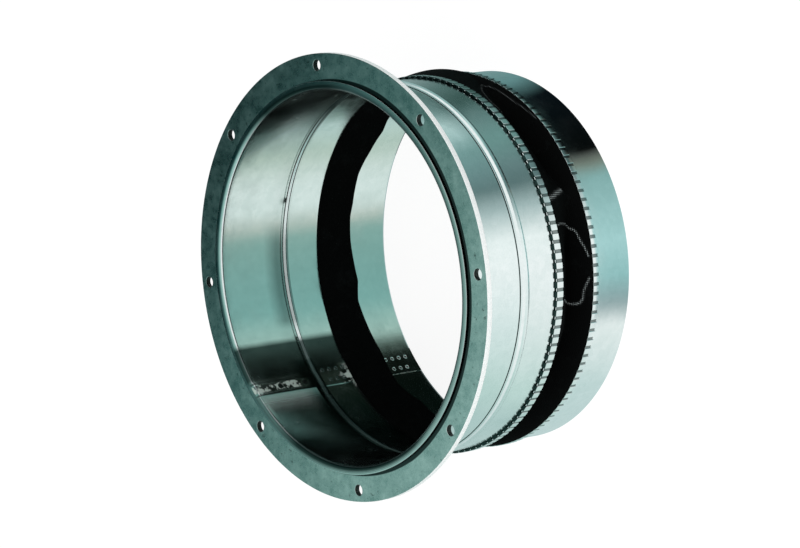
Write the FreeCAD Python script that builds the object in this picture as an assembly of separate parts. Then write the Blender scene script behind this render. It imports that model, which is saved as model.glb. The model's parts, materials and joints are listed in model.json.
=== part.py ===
import FreeCAD, Part
import math
import os

os.makedirs("parts", exist_ok=True)

# Flexible duct connector, standing on its plain collar with the flange on top.
# The duct axis is Z, z = 0 is the collar's rim, and one flange hole lies on +X.
# All sizes are in millimetres and degrees.

# Front sleeve: a rolled tube with a flared lip
bore_diameter = 315.0
sleeve_wall = 0.8
sleeve_length = 75.0
lip_outer_radius = 164.8
lip_bend_radius = 2.4

# Bead rolled through the sleeve and the strip that lies over it
bead_height = 1.8
bead_crown_radius = 3.2
bead_foot_radius = 2.5
bead_to_sleeve_end = 5.7

# Loose flange ring behind the lip
flange_ring_width = 29.2
flange_thickness = 5.0
flange_chamfer = 0.4
flange_side_clearance = 0.5
flange_end_play = 0.3
bolt_hole_from_rim = 10.0
bolt_hole_diameter = 9.5
bolt_hole_count = 8

# Sheet strips that carry the fabric
strip_wall = 0.6
strip_over_sleeve_clearance = 0.1
strip_over_sleeve_length = 11.0
front_strip_width = 44.5
rear_strip_width = 42.5
fabric_gap = 34.0

# Hem: the strip's edge is folded twice, closed over the fabric and crimped
hem_width = 7.6
hem_cover_wall = 0.8
tooth_count = 128
notch_depth = 0.5
notch_floor_width = 2.3
notch_side_slope = 0.8

# Fabric band, slack and folded inwards between the two hems
fabric_wall = 0.6
fabric_clearance = 0.25
fabric_in_hem = 5.6
fold_lean = 7.5
crest_lift = 0.25
crest_bend = 3.5
band_columns = 128

# The slack gathers in creases: the angle of each, and its crest's depth inside the hem
fold_creases = (
    (-172.5, 28.4), (-167.4, 20.4), (-158.5, 20.6), (-145.6, 24.0), (-131.0, 19.0),
    (-118.0, 25.0), (-104.0, 17.0), (-92.0, 22.0), (-80.0, 15.0), (-66.0, 23.0),
    (-52.0, 18.0), (-37.0, 26.0), (-22.0, 19.0), (-8.0, 24.0), (6.0, 18.0), (19.0, 25.0),
    (33.0, 19.0), (48.0, 23.0), (62.0, 15.0), (76.0, 19.0), (90.0, 11.0), (104.0, 17.0),
    (120.5, 13.0), (131.7, 14.6), (146.7, 15.8), (154.0, 19.6), (163.4, 18.5), (178.9, 24.6),
)

# Lap seams, all on one line of the duct, with their welds and clinch points
lap_angle = -140.6
sleeve_lap_width = 14.0
sleeve_lap_wall = 0.7
strip_lap_width = 24.0
weld_radius = 2.4
weld_depth = 0.25
lap_weld_pitch = 27.0
lap_weld_from_lip = 28.0
bead_weld_radius = 1.4
bead_weld_count = 8
bead_weld_angle = 21.4
clinch_radius = 1.9
clinch_depth = 0.35
clinch_pitch = 7.6
clinch_row_edge = 5.8
clinch_row_spacing = 10.5
clinch_count = 4

# Radii of the layers, from the bore outwards
sleeve_inner = bore_diameter / 2
sleeve_outer = sleeve_inner + sleeve_wall
strip_inner = sleeve_outer + strip_over_sleeve_clearance
strip_outer = strip_inner + strip_wall
pocket_inner = strip_outer + strip_wall
pocket_outer = pocket_inner + fabric_wall + 2 * fabric_clearance
pocket_middle = (pocket_inner + pocket_outer) / 2
hem_outer = pocket_outer + hem_cover_wall

# Radii of the flange, from the sleeve outwards
flange_inner = sleeve_outer + flange_side_clearance
flange_outer = flange_inner + flange_ring_width
bolt_circle_radius = flange_outer - bolt_hole_from_rim

# Heights, from the collar's rim upwards
rear_mouth = rear_strip_width
front_mouth = rear_mouth + fabric_gap
strip_top = front_mouth + front_strip_width
sleeve_bottom = strip_top - strip_over_sleeve_length
bead_middle = sleeve_bottom + bead_to_sleeve_end
lip_top = sleeve_bottom + sleeve_length
bend_height = lip_top - sleeve_wall - lip_bend_radius

origin = FreeCAD.Vector(0, 0, 0)
duct_axis = FreeCAD.Vector(0, 0, 1)


class Outline:
    # A closed outline in the plane of the duct axis, drawn edge by edge. Each point is a
    # radius and a distance along the axis, counted from a base height, up or down.
    def __init__(self, radius, along, base=0.0, direction=1):
        self.base = base
        self.direction = direction
        self.edges = []
        self.start = self.point(radius, along)
        self.here = self.start

    def point(self, radius, along):
        return FreeCAD.Vector(radius, 0, self.base + self.direction * along)

    def line(self, radius, along):
        end = self.point(radius, along)
        if end.distanceToPoint(self.here) > 1e-6:
            self.edges.append(Part.LineSegment(self.here, end).toShape())
        self.here = end

    def arc(self, centre_radius, centre_along, radius, start_angle, end_angle):
        spots = []
        for angle in (start_angle, (start_angle + end_angle) / 2, end_angle):
            turn = math.radians(angle)
            spots.append((centre_radius + radius * math.cos(turn),
                          centre_along + radius * math.sin(turn)))
        self.line(*spots[0])
        end = self.point(*spots[2])
        self.edges.append(Part.Arc(self.here, self.point(*spots[1]), end).toShape())
        self.here = end

    def solid(self, angle=360.0):
        if self.here.distanceToPoint(self.start) > 1e-6:
            self.edges.append(Part.LineSegment(self.here, self.start).toShape())
        face = Part.Face(Part.Wire(self.edges))
        return face.revolve(origin, duct_axis, angle)


# The bead is three tangent arcs: foot, crown, foot. Sheets on it are parallel to it.
bead_reach = bead_crown_radius + bead_foot_radius
bead_half_width = math.sqrt(2 * bead_height * bead_reach - bead_height ** 2)
bead_angle = math.degrees(math.atan2(bead_half_width, bead_reach - bead_height))


def draw_bead(outline, offset, middle, upwards):
    side = 1 if upwards else -1
    radius = sleeve_inner + offset
    foot = sleeve_inner + bead_foot_radius
    crown = sleeve_inner + bead_height - bead_crown_radius
    foot_radius = bead_foot_radius - offset
    crown_radius = bead_crown_radius + offset
    outline.line(radius, middle - side * bead_half_width)
    outline.arc(foot, middle - side * bead_half_width, foot_radius, 180, 180 - side * bead_angle)
    outline.arc(crown, middle, crown_radius, -side * bead_angle, side * bead_angle)
    outline.arc(foot, middle + side * bead_half_width, foot_radius, 180 + side * bead_angle, 180)


def radial_pin(radius, length, angle, height, start):
    # a round cutter that points along the radius at one angle and height
    turn = math.radians(angle)
    outwards = FreeCAD.Vector(math.cos(turn), math.sin(turn), 0)
    place = outwards * start + FreeCAD.Vector(0, 0, height)
    return Part.makeCylinder(radius, length, place, outwards)


def arc_angle(length, radius):
    # the angle that a length covers round the duct
    return math.degrees(length / radius)


# The loose ring's hole clears the sleeve, and its face stops at the flare's bend.
def make_flange_ring():
    bend_reach = lip_bend_radius - flange_side_clearance
    seat = bend_height + math.sqrt(lip_bend_radius ** 2 - bend_reach ** 2)
    top = seat - flange_end_play
    bottom = top - flange_thickness
    ring = Outline(flange_inner, bottom)
    ring.line(flange_outer - flange_chamfer, bottom)
    ring.line(flange_outer, bottom + flange_chamfer)
    ring.line(flange_outer, top - flange_chamfer)
    ring.line(flange_outer - flange_chamfer, top)
    ring.line(flange_inner, top)
    holes = []
    for number in range(bolt_hole_count):
        turn = 2 * math.pi * number / bolt_hole_count
        place = FreeCAD.Vector(math.cos(turn), math.sin(turn), 0) * bolt_circle_radius
        place.z = bottom - 1
        holes.append(Part.makeCylinder(bolt_hole_diameter / 2, flange_thickness + 2, place))
    return ring.solid().cut(Part.makeCompound(holes))


# One run of sleeve sheet between two distances outside the bore
def sleeve_sheet(inside, outside, with_lip, angle=360.0):
    flare = lip_bend_radius + sleeve_wall
    centre = sleeve_outer + lip_bend_radius
    sheet = Outline(sleeve_inner + inside, sleeve_bottom)
    draw_bead(sheet, inside, bead_middle, True)
    sheet.line(sleeve_inner + inside, bend_height)
    if with_lip:
        sheet.arc(centre, bend_height, flare - inside, 180, 90)
        sheet.line(lip_outer_radius, lip_top - inside)
        sheet.line(lip_outer_radius, lip_top - outside)
        sheet.line(centre, lip_top - outside)
        sheet.arc(centre, bend_height, flare - outside, 90, 180)
    else:
        sheet.line(sleeve_inner + outside, bend_height)
    draw_bead(sheet, outside, bead_middle, False)
    sheet.line(sleeve_inner + outside, sleeve_bottom)
    return sheet.solid(angle)


# The tube's ends lap inside, spot welded, and the bead holds the strip by more welds.
def make_front_sleeve():
    lap_turn = arc_angle(sleeve_lap_width, sleeve_inner)
    lap = sleeve_sheet(-sleeve_lap_wall, sleeve_wall / 2, False, lap_turn)
    lap.rotate(origin, duct_axis, lap_angle - lap_turn)
    sleeve = sleeve_sheet(0, sleeve_wall, True).fuse(lap)
    welds = []
    lap_face = sleeve_inner - sleeve_lap_wall
    height = lip_top - lap_weld_from_lip
    while height > bead_middle + bead_half_width + weld_radius:
        welds.append(radial_pin(weld_radius, weld_depth + 1, lap_angle - lap_turn / 2, height,
                                lap_face - 1))
        height = height - lap_weld_pitch
    crown = sleeve_inner + bead_height
    for number in range(bead_weld_count):
        angle = bead_weld_angle + 360.0 * number / bead_weld_count
        welds.append(radial_pin(bead_weld_radius, weld_depth + 2, angle, bead_middle, crown - 2))
    return sleeve.cut(Part.makeCompound(welds)).removeSplitter()


# Cutter for the crimped notches: a ring with one wedge for each notch, pointing inwards
def notch_cutter(mouth, direction):
    floor = hem_outer - notch_depth
    far = hem_outer + 1.0
    far_half = notch_floor_width / 2 + notch_side_slope * (far - floor)
    corners = []
    for number in range(tooth_count):
        middle = 2 * math.pi * number / tooth_count
        for radius, half in ((far, -far_half), (floor, -notch_floor_width / 2),
                             (floor, notch_floor_width / 2), (far, far_half)):
            turn = middle + half / radius
            corners.append(FreeCAD.Vector(radius * math.cos(turn), radius * math.sin(turn), 0))
    corners.append(corners[0])
    length = hem_width + 2
    core = Part.Face(Part.makePolygon(corners)).extrude(FreeCAD.Vector(0, 0, length))
    cutter = Part.makeCylinder(far + 1.5, length).cut(core)
    low = mouth - 1 if direction > 0 else mouth + 1 - length
    cutter.translate(FreeCAD.Vector(0, 0, low))
    return cutter


# One strip, drawn from its plain end to the mouth of its hem and back. Two layers lie
# folded flat under the fabric, and the third is closed over it, its fold pressed square.
def make_strip(mouth, direction, width, bead_at, lap_end):
    fold_radius = hem_outer - pocket_middle
    fold_centre = hem_width - fold_radius
    pocket_radius = pocket_outer - pocket_middle
    strip = Outline(strip_inner, width, mouth, direction)
    if bead_at:
        draw_bead(strip, strip_inner - sleeve_inner, bead_at, False)
    strip.line(strip_inner, strip_wall)
    strip.arc(strip_outer, strip_wall, strip_wall, 180, 360)
    strip.line(pocket_inner, fold_centre)
    strip.arc(pocket_middle, fold_centre, pocket_radius, 180, 0)
    strip.line(pocket_outer, 0)
    strip.line(hem_outer, 0)
    strip.line(hem_outer, fold_centre)
    strip.arc(pocket_middle, fold_centre, fold_radius, 0, 90)
    strip.line(strip_outer, hem_width)
    if bead_at:
        draw_bead(strip, strip_outer - sleeve_inner, bead_at, True)
    strip.line(strip_outer, width)
    body = strip.solid().cut(notch_cutter(mouth, direction))

    lap_turn = arc_angle(strip_lap_width, strip_inner)
    lap = Outline(strip_inner - strip_wall, strip_wall, mouth, direction)
    lap.line(strip_inner + strip_wall / 2, strip_wall)
    lap.line(strip_inner + strip_wall / 2, lap_end)
    lap.line(strip_inner - strip_wall, lap_end)
    pad = lap.solid(lap_turn)
    pad.rotate(origin, duct_axis, lap_angle - lap_turn)
    return body.fuse(pad).cut(clinch_points(mouth, direction, lap_end)).removeSplitter()


# Two staggered rows of clinch points hold a strip's lap.
def clinch_points(mouth, direction, lap_end):
    face = strip_inner - strip_wall
    middle = (strip_wall + lap_end) / 2
    points = []
    for row, count in ((0, clinch_count - 1), (1, clinch_count)):
        away = clinch_row_edge + row * clinch_row_spacing
        angle = lap_angle - arc_angle(away, strip_inner)
        for number in range(count):
            along = middle + (number - (count - 1) / 2) * clinch_pitch
            points.append(radial_pin(clinch_radius, clinch_depth + 1, angle,
                                     mouth + direction * along, face - 1))
    return Part.makeCompound(points)


# How deep the fold's crest lies at any angle, between the creases on either side
def crest_depth(angle):
    first_angle, first_depth = fold_creases[0]
    last_angle, last_depth = fold_creases[-1]
    before = (last_angle - 360, last_depth)
    for crease in fold_creases + ((first_angle + 360, first_depth),):
        if angle <= crease[0]:
            break
        before = crease
    return between(before, crease, (angle - before[0]) / (crease[0] - before[0]))[1]


def between(first, last, share):
    return tuple(start + share * (end - start) for start, end in zip(first, last))


# One section of the band's middle layer, as radius and height: up out of the rear hem, in
# to the crest, which leans to the rear, and out again into the front hem
def band_section(angle):
    depth = crest_depth(angle)
    mean_depth = sum(crease[1] for crease in fold_creases) / len(fold_creases)
    leaning = (rear_mouth + front_mouth) / 2 - fold_lean
    crest_height = leaning + crest_lift * (depth - mean_depth)
    tip = pocket_middle - depth - crest_bend / 3
    below = (tip + crest_bend, crest_height - crest_bend / 2)
    above = (tip + crest_bend, crest_height + crest_bend / 2)
    step = fabric_in_hem / 3
    rear = [(pocket_middle, rear_mouth - fabric_in_hem + step * count) for count in range(5)]
    front = [(pocket_middle, front_mouth + fabric_in_hem - step * count) for count in range(5)]
    inwards = [between(rear[-1], below, share) for share in (0.3, 0.6, 1.0)]
    outwards = [between(front[-1], above, share) for share in (0.2, 0.45, 0.7, 1.0)]
    return rear + inwards + [(tip, crest_height)] + outwards[::-1] + front[::-1]


# Everything inside one face of the band. Its control points run round the duct in columns,
# a little outside the face because a smooth surface cuts its corners.
def inside_band(offset):
    swell = 3 / (2 + math.cos(2 * math.pi / band_columns))
    columns = []
    for number in range(band_columns):
        angle = 360.0 * number / band_columns - 180
        turn = math.radians(angle)
        section = band_section(angle)
        column = []
        for index, (radius, height) in enumerate(section):
            before = section[max(index - 1, 0)]
            after = section[min(index + 1, len(section) - 1)]
            run = math.hypot(after[0] - before[0], after[1] - before[1])
            reach = (radius + offset * (after[1] - before[1]) / run) * swell
            rise = height - offset * (after[0] - before[0]) / run
            column.append(FreeCAD.Vector(reach * math.cos(turn), reach * math.sin(turn), rise))
        columns.append(column)
    rows = len(columns[0])
    around = [1] * (band_columns + 1)
    across = [4] + [1] * (rows - 4) + [4]
    surface = Part.BSplineSurface()
    surface.buildFromPolesMultsKnots(columns, around, across, list(range(band_columns + 1)),
                                     list(range(rows - 2)), True, False, 3, 3)
    face = surface.toShape()
    faces = [face]
    for edge in face.Edges:
        if edge.isClosed():
            cap = Part.Face(Part.Wire(edge))
            upwards = edge.BoundBox.ZMin > (rear_mouth + front_mouth) / 2
            if (cap.normalAt(0, 0).z > 0) != upwards:
                cap.reverse()
            faces.append(cap)
    return Part.Solid(Part.Shell(faces))


# The band's edges lie in both hems, and its slack folds inwards between them.
def make_fabric_band():
    return inside_band(fabric_wall / 2).cut(inside_band(-fabric_wall / 2))


pieces = {
    "flange_ring": make_flange_ring(),
    "front_sleeve": make_front_sleeve(),
    "front_strip": make_strip(front_mouth, 1, front_strip_width, bead_middle - front_mouth,
                              sleeve_bottom - front_mouth - strip_over_sleeve_clearance),
    "rear_strip": make_strip(rear_mouth, -1, rear_strip_width, None, rear_strip_width),
    "fabric_band": make_fabric_band(),
}

for name, shape in pieces.items():
    solids = shape.Solids
    print(name, "solids", len(solids), "valid", shape.isValid(), "volume", round(shape.Volume, 1))
    solids[0].exportStep("parts/" + name + ".step")
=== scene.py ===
import json
import math

import bpy
import numpy as np
from mathutils import Matrix, Vector


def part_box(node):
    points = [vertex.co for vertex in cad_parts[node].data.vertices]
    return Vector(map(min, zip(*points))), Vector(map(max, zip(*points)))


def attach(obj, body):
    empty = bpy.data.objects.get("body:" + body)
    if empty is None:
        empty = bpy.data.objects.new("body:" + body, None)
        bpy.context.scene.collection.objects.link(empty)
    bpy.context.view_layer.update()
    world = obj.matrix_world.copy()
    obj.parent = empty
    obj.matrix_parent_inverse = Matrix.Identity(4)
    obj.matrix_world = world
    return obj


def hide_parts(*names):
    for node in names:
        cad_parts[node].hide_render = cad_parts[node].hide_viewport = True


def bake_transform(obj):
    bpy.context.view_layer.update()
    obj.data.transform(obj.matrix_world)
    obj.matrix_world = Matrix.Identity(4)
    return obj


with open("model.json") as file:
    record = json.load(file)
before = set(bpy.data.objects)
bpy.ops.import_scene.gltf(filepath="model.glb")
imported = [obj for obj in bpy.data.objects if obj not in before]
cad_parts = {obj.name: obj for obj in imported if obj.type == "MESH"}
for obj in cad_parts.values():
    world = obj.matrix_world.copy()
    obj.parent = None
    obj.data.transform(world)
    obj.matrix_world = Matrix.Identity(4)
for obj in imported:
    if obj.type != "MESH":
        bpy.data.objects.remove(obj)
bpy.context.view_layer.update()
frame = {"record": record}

mm = 0.001
mounts = {mount["name"]: mount for mount in frame["record"]["mounts"]}

# the layers of the duct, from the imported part: radii and heights in metres
duct = {
    "bore": mounts["inlet_bore"]["dims"]["r_mm"] * mm,
    "stripInner": mounts["outlet_bore"]["dims"]["r_mm"] * mm,
    "stripOuter": mounts["outlet_collar"]["dims"]["r_mm"] * mm,
    "sleeveWall": 0.8 * mm,
    "stripWall": 0.6 * mm,
    "lipTop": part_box("front_sleeve")[1].z,
    "lipRadius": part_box("front_sleeve")[1].x,
    "sleeveFoot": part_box("front_sleeve")[0].z,
    "stripTop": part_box("front_strip")[1].z,
    "frontMouth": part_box("front_strip")[0].z,
    "rearMouth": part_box("rear_strip")[1].z,
    "lapAngle": -140.6,  # where each lap ends, in degrees
}
duct["gap"] = duct["frontMouth"] - duct["rearMouth"]
duct["gapMiddle"] = (duct["frontMouth"] + duct["rearMouth"]) / 2
print("frame loaded, fabric gap", round(duct["gap"] * 1000, 1), "mm")


def arcPoints(centreRadius, centreHeight, radius, start, end, steps):
    turns = np.radians(np.linspace(start, end, steps + 1))
    return [(centreRadius + radius * math.cos(turn), centreHeight + radius * math.sin(turn))
            for turn in turns]


def addObject(name, data):
    made = bpy.data.objects.new(name, data)
    bpy.context.scene.collection.objects.link(made)
    return made


def loopFaces(columns, rows):
    # the faces of a closed loop of rows that is swept right round through the columns
    column, row = np.meshgrid(np.arange(columns), np.arange(rows), indexing="ij")
    nextColumn, nextRow = (column + 1) % columns, (row + 1) % rows
    return np.stack([column * rows + row, nextColumn * rows + row,
                     nextColumn * rows + nextRow, column * rows + nextRow], -1).reshape(-1, 4)


def spinSection(section, turns, change):
    # sweeps a closed section of (radius, height) round the duct; change pushes points about and
    # marks them: above nought darkens the metal with painted shade and stain, below nought gives
    # pale patches and painted highlights
    radius = np.repeat(np.array([[p[0] for p in section]]), len(turns), 0)
    height = np.repeat(np.array([[p[1] for p in section]]), len(turns), 0)
    turn = np.repeat(np.array(turns)[:, None], len(section), 1)
    radius, height, marks = change(turn, radius, height)
    points = np.stack([radius * np.cos(turn), radius * np.sin(turn), height], -1).reshape(-1, 3)
    return points, loopFaces(len(turns), len(section)), marks.ravel()


def enclosedVolume(points, faces):
    a, b, c, d = (points[faces[:, k]] for k in range(4))
    return float((a * np.cross(b, c)).sum() + (a * np.cross(c, d)).sum()) / 6


def joinShells(name, shells, materials, sharpAngle=50):
    # shells: (points, faces, marks, material number), each one closed; all become one object
    points, faces, marks, slots, offset = [], [], [], [], 0
    for shellPoints, shellFaces, shellMarks, slot in shells:
        if enclosedVolume(shellPoints, shellFaces) < 0:
            shellFaces = shellFaces[:, ::-1]
        points.append(shellPoints)
        faces.append(shellFaces + offset)
        marks.append(shellMarks)
        slots.append(np.full(len(shellFaces), slot))
        offset += len(shellPoints)
    mesh = bpy.data.meshes.new(name)
    mesh.from_pydata(np.concatenate(points).tolist(), [], np.concatenate(faces).tolist())
    for material in materials:
        mesh.materials.append(material)
    mesh.polygons.foreach_set("material_index", np.concatenate(slots).astype(np.int32))
    layer = mesh.attributes.new("mark", "FLOAT", "POINT")
    layer.data.foreach_set("value", np.concatenate(marks).astype(np.float32))
    mesh.shade_smooth()
    mesh.set_sharp_from_angle(angle=math.radians(sharpAngle))
    print(name, len(mesh.polygons), "faces")
    return addObject(name, mesh)


roundMarkSize = {"sides": 24, "middle": 0.02 * mm, "depth": 0.3 * mm}


def roundMark(angle, height, surface, facing, rings, mark=0.0):
    # a small round mark on the sheet: rings are (distance, rise), from the rim to the middle
    sides, middle, depth = (roundMarkSize[key] for key in ("sides", "middle", "depth"))
    turn = math.radians(angle)
    outwards = np.array([math.cos(turn), math.sin(turn), 0.0])
    across = np.array([-math.sin(turn), math.cos(turn), 0.0])
    rows = [*rings, (middle, rings[-1][1]), (middle, -depth), (rings[0][0], -depth)]
    points = []
    for side in np.linspace(0, 2 * math.pi, sides, endpoint=False):
        for distance, rise in rows:
            shift = distance * math.cos(side)
            drop = math.sqrt(surface ** 2 - shift ** 2) - surface
            points.append(outwards * (surface + drop + facing * rise) + across * shift
                          + np.array([0, 0, height + distance * math.sin(side)]))
    return np.array(points), loopFaces(sides, len(rows)), np.full(len(points), mark)


# rolled sheet is never quite round, by a few hundredths of a millimetre that reflections show;
# each wave: count round the duct, slant, start and share
waviness = {
    "height": 0.035 * mm,
    "waves": ((5, 0, 1.1, 1.0), (9, -20, 0.4, 0.7), (17, 45, 0, 0.35), (31, -60, 2, 0.25)),
}


def sheetWave(turn, height):
    return waviness["height"] * sum(share * np.sin(count * turn + slant * height + start)
                                    for count, slant, start, share in waviness["waves"])


# in degrees: how wide a lap's end step is, and how close to it the sheet is pinned on either side
lapStep = {"width": 0.03, "before": 0.2, "after": 0.17, "clear": 0.05}


def lapShare(turn, start, end):
    # one between the two angles of a lap, nought outside, with a steep step at each end
    degrees, step = np.degrees(turn), lapStep["width"]
    return np.clip((degrees - start) / step, 0, 1) * np.clip((end - degrees) / step, 0, 1)


def lapTurns(turns, start, end):
    # the turns with extra ones added at the ends of the lap
    step = lapStep["width"]
    extra = [start, start + step, end - lapStep["before"], end - step, end, end + lapStep["after"]]
    degrees = (np.degrees(np.array(turns)) + 180) % 360 - 180
    kept = [d for d in degrees if all(abs(d - e) > lapStep["clear"] for e in extra)]
    return np.radians(np.sort(np.array(kept + extra)))


def setInputs(tree, node, inputs):
    for key, value in inputs.items():
        if isinstance(value, bpy.types.NodeSocket):
            tree.links.new(value, node.inputs[key])
        else:
            node.inputs[key].default_value = value


def addNode(tree, kind, inputs=None, **settings):
    made = tree.nodes.new(kind)
    for key, value in settings.items():
        setattr(made, key, value)
    setInputs(tree, made, inputs or {})
    return made


def mathNode(tree, operation, first, second=0.0):
    return addNode(tree, "ShaderNodeMath", {0: first, 1: second}, operation=operation).outputs[0]


def multiply(tree, first, *others):
    for other in others:
        first = mathNode(tree, "MULTIPLY", first, other)
    return first


def weightedSum(tree, values, weights):
    scaled = [multiply(tree, value, weight) for value, weight in zip(values, weights)]
    total = scaled[0]
    for value in scaled[1:]:
        total = mathNode(tree, "ADD", total, value)
    return total


def mapRange(tree, value, fromLow, fromHigh, toLow=0.0, toHigh=1.0, interpolation="LINEAR"):
    inputs = {"Value": value, "From Min": fromLow, "From Max": fromHigh,
              "To Min": toLow, "To Max": toHigh}
    return addNode(tree, "ShaderNodeMapRange", inputs, interpolation_type=interpolation).outputs[0]


def noiseNode(tree, vector, scale, detail, roughness):
    inputs = {"Vector": vector, "Scale": scale, "Detail": detail, "Roughness": roughness}
    return addNode(tree, "ShaderNodeTexNoise", inputs).outputs["Fac"]


def stretchNode(tree, vector, scale):
    return addNode(tree, "ShaderNodeMapping", {"Vector": vector, "Scale": scale}).outputs[0]


def rampNode(tree, factor, stops):
    made = addNode(tree, "ShaderNodeValToRGB", {"Fac": factor})
    elements = made.color_ramp.elements
    while len(elements) < len(stops):
        elements.new(0.5)
    for element, (position, colour) in zip(elements, stops):
        element.position = position
        element.color = (*colour, 1)
    return made.outputs["Color"]


def fadeBetween(tree, value, ends, top=1.0):
    return rampNode(tree, value, ((ends[0], grey(0)), (ends[1], grey(top))))


def mixColour(tree, factor, first, second):
    # 0, 6, 7 and 2 are the mix node's sockets for colours
    inputs = {0: factor, 6: first, 7: second}
    return addNode(tree, "ShaderNodeMix", inputs, data_type="RGBA").outputs[2]


def newMaterial(name):
    material = bpy.data.materials.new(name)
    material.use_nodes = True
    tree = material.node_tree
    return material, tree, tree.nodes["Principled BSDF"]


def grey(value):
    return (value, value, value)


def objectPlace(tree):
    return addNode(tree, "ShaderNodeTexCoord").outputs["Object"]


def splitNode(tree, vector):
    return addNode(tree, "ShaderNodeSeparateXYZ", {0: vector}).outputs


def vectorLength(tree, vector):
    return addNode(tree, "ShaderNodeVectorMath", {0: vector}, operation="LENGTH").outputs["Value"]


def axisDistance(tree, place):
    inputs = {0: place, 1: (1, 1, 0)}
    flat = addNode(tree, "ShaderNodeVectorMath", inputs, operation="MULTIPLY").outputs[0]
    return vectorLength(tree, flat)


def axisSweep(tree, place):
    # the angle round the duct, as a share of a full turn that is one half on +X
    inputs = {"Vector": place}
    return addNode(tree, "ShaderNodeTexGradient", inputs, gradient_type="RADIAL").outputs["Fac"]


def attributeNode(tree, name, output="Fac"):
    return addNode(tree, "ShaderNodeAttribute", attribute_name=name).outputs[output]


def bumpNode(tree, height, look):
    inputs = {"Height": height, "Strength": look["bump"], "Distance": look["bumpHeight"]}
    return addNode(tree, "ShaderNodeBump", inputs).outputs[0]


# the finish of the sheet metal; here and below, each noise is given as scale, detail and roughness
galvanisedLook = {
    "pale": (0.90, 0.94, 0.935, 1),
    "dark": (0.79, 0.86, 0.85, 1),
    # a near-black teal for painted shade and for stain round the welds
    "pressed": (0.022, 0.045, 0.042, 1),
    # pale patches, which stand in part for painted highlights and a painted reflection
    "paleAndPaintedHighlight": (0.66, 0.76, 0.70, 1),
    "blotch": (60.0, 4.0, 0.6),
    "blotchRange": (0.3, 0.7),
    "spangle": 190.0,
    "grain": (620.0, 2.0, 0.6),
    "rolled": (160.0, 3.0, 0.6),
    "rolledStretch": (1, 1, 0.08),
    "weights": (0.55, 0.22, 0.35, 0.25),  # of blotches, spangle, grain and rolling streaks
    "toneRange": (0.45, 0.98),
    "roughness": (0.13, 0.25),
    "pressedRoughness": 0.04,
    "paleAndHighlightRoughness": 0.62,
    "metalLoss": 0.75,  # where it has pale patches, painted highlights and painted sheen
    "bump": 0.014,
    "bumpHeight": 0.6 * mm,
    "paleMarkDark": 0.9,
    "patches": (170.0, 4.0, 0.6),
    "patchRange": (0.60, 0.68),
    "patchGrowth": 0.16,
    "lipRingPitch": 1.15 * mm,
    "lipRingsFrom": 160.2 * mm,
    "lipRingDepth": 1.5 * mm,
    "lipRingShade": (0.05, 0.42),
    # a painted sheen below the lap: its colour, share, reach in degrees and how fast it fades
    "paintedSheen": (0.24, 0.46, 0.41, 1),
    "paintedSheenShare": 0.9,
    "paintedSheenSpan": 10.0,
    "paintedSheenFade": 2.2,
    "paintedSheenRoughness": 0.6,
}


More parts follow.
